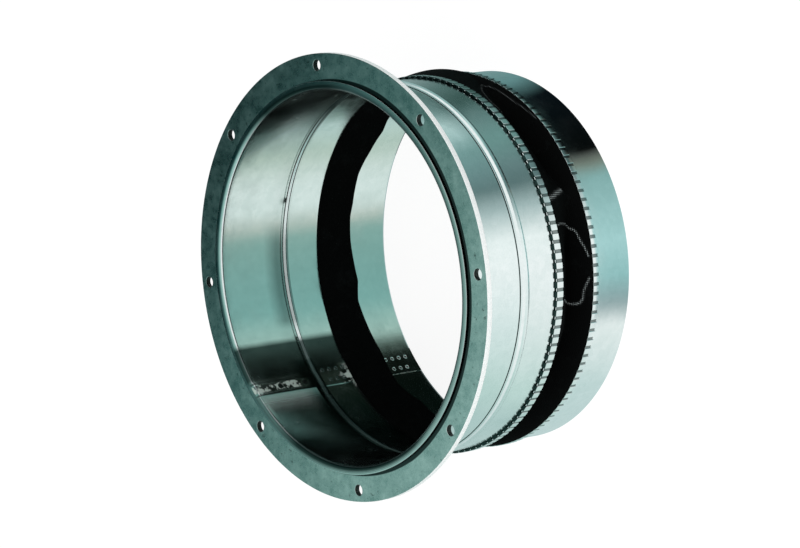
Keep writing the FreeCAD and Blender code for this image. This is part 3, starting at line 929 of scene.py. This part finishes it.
# fabric band: slack cloth that folds inwards, in two halves
clothSize = {
    "radius": 160.15 * mm,
    "wall": 0.6 * mm,
    "inHem": 5.4 * mm,
    "hemRows": 3,
    "columns": 1000,
    "rearRows": 24,
    "middleRows": 12,
    "frontRows": 26,
    "lean": 7.5 * mm,
    "crestLift": 0.25,
    "rearBow": 1.4,
    "frontBow": 1.35,
    "smoothings": 3,
    # where the two halves meet, as a share of the gap: the rear one takes up the whole stretch
    "seamAt": 0.567,
    # angle of each crease in degrees and how far its crest hangs inside the hem, in mm
    "creases": ((-174.0, 28.6), (-167.0, 20.1), (-157.8, 23.5), (-145.8, 26.5), (-131.0, 20.0),
                (-118.0, 25.0), (-104.0, 17.0), (-92.0, 22.0), (-80.0, 15.0), (-66.0, 23.0),
                (-52.0, 18.0), (-37.0, 26.0), (-22.0, 19.0), (-8.0, 24.0), (4.0, 21.0),
                (12.0, 13.0), (20.0, 6.0), (28.0, 16.0), (38.0, 20.0), (50.0, 22.0), (60.0, 14.0),
                (72.0, 5.0), (80.0, 1.0), (100.0, 1.0), (110.0, 11.0), (117.0, 15.5),
                (120.5, 16.8), (124.6, 21.0), (135.4, 20.4), (146.8, 16.2), (158.2, 18.3),
                (162.9, 16.5), (171.1, 19.3), (179.1, 24.8)),
    # where the cloth bulges outwards between the hems, and how far
    "swellAngle": 88.0,
    "swellSpan": 24.0,
    "swell": 5.2 * mm,
    "swellLean": 0.75,
    "swellFullness": 0.8,
    # lines where the slack is pinched outwards: breadth, strength of the painted glint, then angles
    # and heights in mm
    "pinches": ((1.0, 1.0, ((10.5, 74.0), (10.8, 65.6), (10.5, 52.0), (8.1, 47.9), (5.4, 47.1),
                            (3.0, 45.6), (0.0, 44.1))),
                (1.0, 1.0, ((-12.0, 73.5), (-12.9, 69.2), (-15.6, 52.0), (-15.0, 48.3),
                            (-13.2, 46.7), (-10.5, 46.8), (-7.8, 45.1), (-6.3, 44.2))),
                (0.7, 0.35, ((70.2, 50.4), (68.1, 46.9), (62.4, 46.0), (57.0, 45.5), (51.0, 44.1),
                             (46.8, 43.5))),
                (0.7, 0.35, ((70.2, 50.4), (66.0, 62.0), (59.7, 70.0), (55.5, 72.9), (52.5, 68.0))),
                (2.6, 0.9, ((18.6, 74.2), (19.6, 68.0), (21.4, 56.0)))),
    "pinchRise": 0.8 * mm,
    "pinchSpan": 1.2 * mm,
    "paintedGlintSpan": 0.55 * mm,
    "roundings": 3,
    "cornerCut": 0.25,
    "sharpAngle": 60,
}


def roundedLine(line):
    # cuts the corners of a line again and again, so that it bends softly
    spots = np.array(line, dtype=float)
    near = clothSize["cornerCut"]
    for rounding in range(clothSize["roundings"]):
        first = spots[:-1] * (1 - near) + spots[1:] * near
        second = spots[:-1] * near + spots[1:] * (1 - near)
        cut = np.stack([first, second], 1).reshape(-1, 2)
        spots = np.vstack([spots[:1], cut[1:-1], spots[-1:]])
    return spots


def clothSurface():
    # radius and height of the cloth's middle face: one column per angle, one row per step along it
    size = clothSize
    turns = np.linspace(-math.pi, math.pi, size["columns"], endpoint=False)
    degrees = np.degrees(turns)
    angles, depths = np.array(size["creases"]).T
    depths = depths * mm
    depth = np.interp(degrees, angles, depths, period=360)[:, None]
    crest = duct["gapMiddle"] - size["lean"] + size["crestLift"] * (depth - depths.mean())
    rear = np.linspace(0, 1, size["rearRows"] + 1)[None, :]
    middle = np.linspace(0, 1, size["middleRows"] + 1)[None, 1:]
    front = np.linspace(0, 1, size["frontRows"] + 1)[None, 1:]
    rearHeight = duct["rearMouth"] + rear * (crest - duct["rearMouth"])
    seam = duct["rearMouth"] + size["seamAt"] * duct["gap"]
    frontHeight = np.hstack([crest + middle * (seam - crest),
                             seam + front * (duct["frontMouth"] - seam) + 0 * crest])
    left = np.clip((duct["frontMouth"] - frontHeight) / (duct["frontMouth"] - crest), 0, 1)
    radius = np.hstack([size["radius"] - depth * rear ** size["rearBow"],
                        size["radius"] - depth * left ** size["frontBow"]])
    height = np.hstack([rearHeight, frontHeight])
    for smoothing in range(size["smoothings"]):
        radius[:, 1:-1] = (radius[:, :-2] + 2 * radius[:, 1:-1] + radius[:, 2:]) / 4
        radius = (np.roll(radius, 1, 0) + 2 * radius + np.roll(radius, -1, 0)) / 4
    across = (height - duct["rearMouth"]) / duct["gap"]
    away = (degrees[:, None] - size["swellAngle"] + 180) % 360 - 180
    swell = size["swell"] * np.exp(-(away / size["swellSpan"]) ** 2)
    arch = np.sin(math.pi * np.clip(across, 0, 1) ** size["swellLean"])
    radius = radius + swell * np.clip(arch, 0, 1) ** size["swellFullness"]
    return turns, radius, height


def nearestPinch(points, turns, radius, height):
    # how far each point of the cloth lies from the nearest pinched line, as shares of its breadth,
    # and how much painted glint it gets there
    closest = np.full(radius.shape, 1.0)
    paintedGlint = np.zeros(radius.shape)
    for breadth, share, line in clothSize["pinches"]:
        spots = []
        for angle, high in roundedLine(line):
            column = int(np.argmin(np.abs(turns - math.radians(angle))))
            turn, reach = turns[column], np.interp(high * mm, height[column], radius[column])
            spots.append((reach * math.cos(turn), reach * math.sin(turn), high * mm))
        for start, end in zip(np.array(spots[:-1]), np.array(spots[1:])):
            run = end - start
            passed = np.clip(((points - start) @ run) / (run @ run), 0, 1)
            away = np.linalg.norm(points - start - passed[..., None] * run, axis=-1) / breadth
            closest = np.minimum(closest, away)
            paintedGlint = np.maximum(paintedGlint, share * np.exp(-(away / clothSize["paintedGlintSpan"]) ** 2))
    return closest, paintedGlint


def buildCloth():
    size = clothSize
    turns, radius, height = clothSurface()
    turn = turns[:, None]
    points = np.stack([radius * np.cos(turn), radius * np.sin(turn), height], -1)
    away, paintedSheen = nearestPinch(points, turns, radius, height)
    # the ends run on into the two hems
    hemRows = size["hemRows"]
    tail = size["inHem"] * np.linspace(1, 0, hemRows, endpoint=False)
    held = np.stack([size["radius"] * np.cos(turn), size["radius"] * np.sin(turn), 0 * turn], -1)
    upwards = np.array([0, 0, 1.0])
    below = held + upwards * (duct["rearMouth"] - tail)[None, :, None]
    above = held + upwards * (duct["frontMouth"] + tail[::-1])[None, :, None]
    points = np.concatenate([below, points, above], 1)
    away = np.pad(away, ((0, 0), (hemRows, hemRows)), constant_values=1.0)
    paintedSheen = np.pad(paintedSheen, ((0, 0), (hemRows, hemRows)))
    pinch = np.exp(-(away / size["pinchSpan"]) ** 2)
    around = np.roll(points, -1, 0) - np.roll(points, 1, 0)
    normal = np.cross(around, np.gradient(points, axis=1))
    normal /= np.linalg.norm(normal, axis=-1, keepdims=True)
    points = points + normal * (pinch * size["pinchRise"])[..., None]
    columns, rows = pinch.shape
    steps = np.linalg.norm(np.diff(points, axis=1), axis=-1)
    along = np.pad(np.cumsum(steps, 1), ((0, 0), (1, 0)))
    around = np.repeat(turn * size["radius"], rows, 1)
    place = np.stack([around, along, np.zeros((columns, rows))], -1)
    print("cloth is", round(float(along[:, -1].mean()) * 1000, 1), "mm wide laid flat")
    seam = hemRows + size["rearRows"] + size["middleRows"]
    halves = []
    for name, first, last in (("fabricRearHalf", 0, seam), ("fabricFrontHalf", seam, rows - 1)):
        strip = slice(first, last + 1)
        outer = points[:, strip] + normal[:, strip] * size["wall"] / 2
        inner = points[:, strip] - normal[:, strip] * size["wall"] / 2
        loop = np.concatenate([outer, inner[:, ::-1]], 1)
        faces = loopFaces(columns, loop.shape[1])
        paintedGlint = np.concatenate([paintedSheen[:, strip], 0 * paintedSheen[:, strip]], 1).ravel()
        shell = (loop.reshape(-1, 3), faces, paintedGlint, 0)
        half = joinShells(name, [shell], [blackFabric], size["sharpAngle"])
        spots = np.concatenate([place[:, strip], place[:, strip][:, ::-1]], 1).reshape(-1, 3)
        layer = half.data.attributes.new("clothPlace", "FLOAT_VECTOR", "POINT")
        layer.data.foreach_set("vector", spots.astype(np.float32).ravel())
        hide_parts("fabric_band")
        halves.append((half, float(steps[:, first:last].sum(1).mean())))
    (rear, rearWidth), (front, frontWidth) = halves
    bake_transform(rear)
    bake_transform(front)


buildCloth()


# studio: pale floor, soft lights, and tones that only the metal mirrors
studio = {
    "floorReach": 6.0,
    "cameraFloor": 0.88,
    "floorShade": 0.22,
    "litFloor": 0.8,
    "ambient": 0.55,
    # name, place, breadth and power of each soft light; both face the target
    "softboxes": (("keySoftbox", (1.1, -0.9, 1.3), 1.0, 14.0),
                  ("fillSoftbox", (0.9, 1.3, 1.0), 0.8, 6.0)),
    "target": (0, 0, 0.1),
    # a card over the flange, and its tones from the near right to the far left
    "cardSize": 0.80,
    "cardRise": 0.28,
    "cardShift": -0.68,
    "cardSlope": (0.05, 0.71),
    "cardTones": ((0.0, (0.0, 0.02, 0.02)), (0.12, (0.0, 0.03, 0.03)), (0.36, (0.09, 0.22, 0.21)),
                  (0.56, (0.13, 0.26, 0.24)), (0.74, (0.28, 0.48, 0.44)),
                  (1.0, (0.38, 0.60, 0.56))),
    # directions round the duct that its bead and lip mirror, from sideways rays to upward ones
    "skyTones": ((-150, (0.40, 0.52, 0.52)), (-75, (0.80, 0.88, 0.88)), (-50, (0.95, 0.98, 0.98)),
                 (70, (0.95, 0.98, 0.98)), (110, (0.86, 0.92, 0.92)), (130, (0.35, 0.46, 0.46)),
                 (150, (0.30, 0.40, 0.40))),
    "skyLevel": (-0.30, -0.12),
    # tones on the floor, by angle round the duct in degrees: beside the duct, and how they slant
    "nearTones": ((-100, (0.50, 0.64, 0.64)), (-45.5, (0.60, 0.74, 0.73)), (-23, (0.88, 0.93, 0.92)),
                  (-16, (0.34, 0.44, 0.45)), (-13, (0.30, 0.44, 0.45)), (-7, (0.32, 0.57, 0.57)),
                  (4, (0.42, 0.68, 0.68)), (24.3, (0.26, 0.46, 0.45)), (28.9, (0.20, 0.24, 0.20)),
                  (32, (0.09, 0.10, 0.09)), (33.4, (0.002, 0.003, 0.003)),
                  (61, (0.002, 0.005, 0.007)), (73.8, (0.13, 0.27, 0.27)), (120, (0.3, 0.42, 0.42))),
    "nearSlant": 4.1,
    # further out, which the rear collar and hem mirror
    "farTones": ((-150, (0.50, 0.62, 0.62)), (-80, (0.46, 0.62, 0.60)), (-60, (0.58, 0.75, 0.71)),
                 (-29, (0.82, 0.89, 0.88)), (-3, (0.95, 0.98, 0.98)), (10, (0.94, 0.99, 0.98)),
                 (23, (0.44, 0.56, 0.56)), (34, (0.10, 0.17, 0.17)), (42, (0.14, 0.23, 0.23)),
                 (57, (0.16, 0.31, 0.29)), (70, (0.12, 0.22, 0.21)), (84, (0.04, 0.09, 0.08)),
                 (100, (0.10, 0.18, 0.17)), (140, (0.4, 0.52, 0.52))),
    # furthest out, which the sleeve mirrors, and where that ring begins
    "sleeveTones": ((-150, (0.50, 0.62, 0.62)), (-80, (0.46, 0.62, 0.60)), (-60, (0.52, 0.70, 0.66)),
                    (-29, (0.76, 0.87, 0.86)), (-3, (0.95, 0.99, 0.99)), (10, (0.92, 0.98, 0.97)),
                    (23, (0.44, 0.56, 0.56)), (34, (0.12, 0.20, 0.20)), (42, (0.16, 0.28, 0.28)),
                    (56, (0.20, 0.36, 0.35)), (66, (0.52, 0.72, 0.71)), (73, (0.56, 0.76, 0.74)),
                    (80, (0.30, 0.47, 0.46)), (94, (0.28, 0.46, 0.45)), (140, (0.4, 0.52, 0.52))),
    "sleeveRing": (0.272, 0.288),
    # in the studio's far surroundings, which the inside mirrors
    "boreTones": ((-150, (0.010, 0.020, 0.018)), (-132, (0.020, 0.035, 0.030)),
                  (-116, (0.20, 0.30, 0.27)), (-104, (0.52, 0.68, 0.65)), (-83, (0.48, 0.60, 0.52)),
                  (-60, (0.74, 0.84, 0.81)), (-43, (0.72, 0.83, 0.80)), (-33, (0.50, 0.56, 0.50)),
                  (-27, (0.24, 0.42, 0.38)), (0, (0.21, 0.41, 0.38)), (20, (0.21, 0.43, 0.40)),
                  (33, (0.33, 0.53, 0.48)), (42, (0.40, 0.58, 0.52)), (48, (0.08, 0.12, 0.10)),
                  (54, (0.012, 0.018, 0.013)), (96, (0.004, 0.012, 0.009)),
                  (150, (0.008, 0.018, 0.015))),
    # where the near ring of tones gives way to the far one, and how it draws in to either side
    "ringEdge": (0.2015, 0.2050),
    "ringBend": 0.428,
    "ringTurn": 5.0,
    # the part of the far ring that the rear hem mirrors: its reach, where and how far it darkens
    "hemReach": 0.222,
    "hemTurn": (18.0, 36.0),
    "hemDark": 0.6,
}


def sweepTones(tree, sweep, name):
    return rampNode(tree, sweep, [(angle / 360 + 0.5, colour) for angle, colour in studio[name]])


def shaderNode(tree, kind, inputs=None):
    return addNode(tree, kind, inputs).outputs[0]


def mixShader(tree, factor, first, second):
    return shaderNode(tree, "ShaderNodeMixShader", {0: factor, 1: first, 2: second})


def sortRays(tree, lit, mirrored, seen):
    # what lights the scene, what metal mirrors, and what is seen straight or through glass
    rays = addNode(tree, "ShaderNodeLightPath").outputs
    straight = mathNode(tree, "MAXIMUM", rays["Is Camera Ray"], rays["Is Transmission Ray"])
    return mixShader(tree, straight, mixShader(tree, rays["Is Glossy Ray"], lit, mirrored), seen)


def setSurface(tree, kind, shader):
    tree.links.new(shader, addNode(tree, kind).inputs["Surface"])


def addSquare(name, reach):
    # a flat square with an empty material, and that material's nodes
    corners = [(-reach, -reach, 0), (reach, -reach, 0), (reach, reach, 0), (-reach, reach, 0)]
    mesh = bpy.data.meshes.new(name)
    mesh.from_pydata(corners, [], [(0, 1, 2, 3)])
    material = bpy.data.materials.new(name)
    material.use_nodes = True
    material.node_tree.nodes.clear()
    mesh.materials.append(material)
    return addObject(name, mesh), material.node_tree


def addGradientCard():
    # a card over the flange that only metal sees: it darkens the plate towards the far left
    card, tree = addSquare("gradientCard", studio["cardSize"])
    card.location = (studio["cardShift"], 0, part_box("flange_ring")[1].z + studio["cardRise"])
    card.visible_camera = card.visible_diffuse = False
    card.visible_shadow = card.visible_transmission = False
    place = splitNode(tree, objectPlace(tree))
    slope = mathNode(tree, "SUBTRACT", place[0], place[1])
    tone = rampNode(tree, mapRange(tree, slope, *studio["cardSlope"]), studio["cardTones"])
    glow = shaderNode(tree, "ShaderNodeEmission", {"Color": tone, "Strength": 1.0})
    setSurface(tree, "ShaderNodeOutputMaterial", glow)


def buildFloor():
    floor, tree = addSquare("studioFloor", studio["floorReach"])
    lit = shaderNode(tree, "ShaderNodeBsdfDiffuse", {"Color": (*grey(studio["litFloor"]), 1)})
    shaded = shaderNode(tree, "ShaderNodeBsdfDiffuse", {"Color": (*grey(studio["floorShade"]), 1)})
    glow = shaderNode(tree, "ShaderNodeEmission", {"Strength": studio["cameraFloor"]})
    seen = shaderNode(tree, "ShaderNodeAddShader", {0: shaded, 1: glow})
    # what metal outside the duct mirrors is laid out on the floor round it; rays that come down
    # inside the bore go on to the studio's far surroundings
    place = objectPlace(tree)
    sweep = axisSweep(tree, place)
    outwards = vectorLength(tree, place)
    aside = mathNode(tree, "SUBTRACT", sweep, 0.5 + studio["ringTurn"] / 360)
    slant = mathNode(tree, "SUBTRACT", outwards, duct["stripOuter"])
    slant = multiply(tree, slant, studio["nearSlant"])
    nearSweep = mathNode(tree, "SUBTRACT", sweep, multiply(tree, aside, slant))
    near = sweepTones(tree, nearSweep, "nearTones")
    drawn = mathNode(tree, "ADD", outwards, multiply(tree, aside, aside, studio["ringBend"]))
    outer = mapRange(tree, drawn, *studio["ringEdge"])
    # the rear hem mirrors the ring just beyond, which is darker towards the top
    turnLow, turnHigh = studio["hemTurn"]
    hemDark = mapRange(tree, aside, turnLow / 360, turnHigh / 360, 0.0, studio["hemDark"])
    hemDark = multiply(tree, hemDark, mathNode(tree, "LESS_THAN", drawn, studio["hemReach"]))
    far = mixColour(tree, hemDark, sweepTones(tree, sweep, "farTones"), (0, 0, 0, 1))
    farthest = sweepTones(tree, sweep, "sleeveTones")
    beyond = mapRange(tree, outwards, *studio["sleeveRing"])
    tone = mixColour(tree, outer, near, mixColour(tree, beyond, far, farthest))
    glowing = shaderNode(tree, "ShaderNodeEmission", {"Color": tone, "Strength": 1.0})
    inside = mathNode(tree, "LESS_THAN", outwards, duct["bore"])
    mirrored = mixShader(tree, inside, glowing, shaderNode(tree, "ShaderNodeBsdfTransparent"))
    setSurface(tree, "ShaderNodeOutputMaterial", sortRays(tree, lit, mirrored, seen))


def buildWorld():
    world = bpy.data.worlds.new("studio")
    bpy.context.scene.world = world
    world.use_nodes = True
    tree = world.node_tree
    tree.nodes.clear()
    place = addNode(tree, "ShaderNodeTexCoord").outputs["Generated"]
    sweep = axisSweep(tree, place)
    level = mapRange(tree, splitNode(tree, place)[2], *studio["skyLevel"])
    bore, sky = (sweepTones(tree, sweep, name) for name in ("boreTones", "skyTones"))
    tone = mixColour(tree, level, bore, sky)
    white = (1, 1, 1, 1)
    lit, mirrored, seen = (
        shaderNode(tree, "ShaderNodeBackground", {"Color": colour, "Strength": strength})
        for colour, strength in ((white, studio["ambient"]), (tone, 1.0), (white, 1.0)))
    setSurface(tree, "ShaderNodeOutputWorld", sortRays(tree, lit, mirrored, seen))


def addSoftbox(name, place, breadth, power):
    lamp = bpy.data.lights.new(name, "AREA")
    lamp.shape = "RECTANGLE"
    lamp.size, lamp.size_y, lamp.energy = breadth, breadth, power
    made = addObject(name, lamp)
    made.location = place
    aim = Vector(studio["target"]) - Vector(place)
    made.rotation_euler = aim.to_track_quat("-Z", "Y").to_euler()
    made.visible_camera = made.visible_glossy = False


buildFloor()
addGradientCard()
buildWorld()
for softbox in studio["softboxes"]:
    addSoftbox(*softbox)
print("studio made")


# camera, solved from the photograph's flange, holes and bore; angles in degrees
view = {
    "lens": 166.28,
    "sensor": 36.0,
    "yaw": 50.132,
    "pitch": 6.379,
    "roll": 1.073,
    "flangeInView": (-0.051923, -0.003712, -3.075020),
    "flangeFace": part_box("flange_ring")[1].z,
}


def buildCamera():
    yaw, pitch, roll = (math.radians(view[key]) for key in ("yaw", "pitch", "roll"))
    level = math.cos(pitch)
    axis = Vector((-math.sin(yaw) * level, -math.sin(pitch), math.cos(yaw) * level))
    across = Vector((math.cos(yaw), 0, math.sin(yaw)))
    upright = axis.cross(across)
    inView = Matrix((across, upright, axis))
    turned = Matrix.Rotation(-roll, 3, "Z") @ inView
    data = bpy.data.cameras.new("photoCamera")
    data.lens = view["lens"]
    data.sensor_width = view["sensor"]
    camera = addObject("photoCamera", data)
    centre = Vector((0, 0, view["flangeFace"]))
    camera.location = centre - turned @ Vector(view["flangeInView"])
    camera.rotation_euler = turned.to_euler()
    bpy.context.scene.camera = camera


buildCamera()
bpy.context.scene.view_settings.view_transform = "Standard"
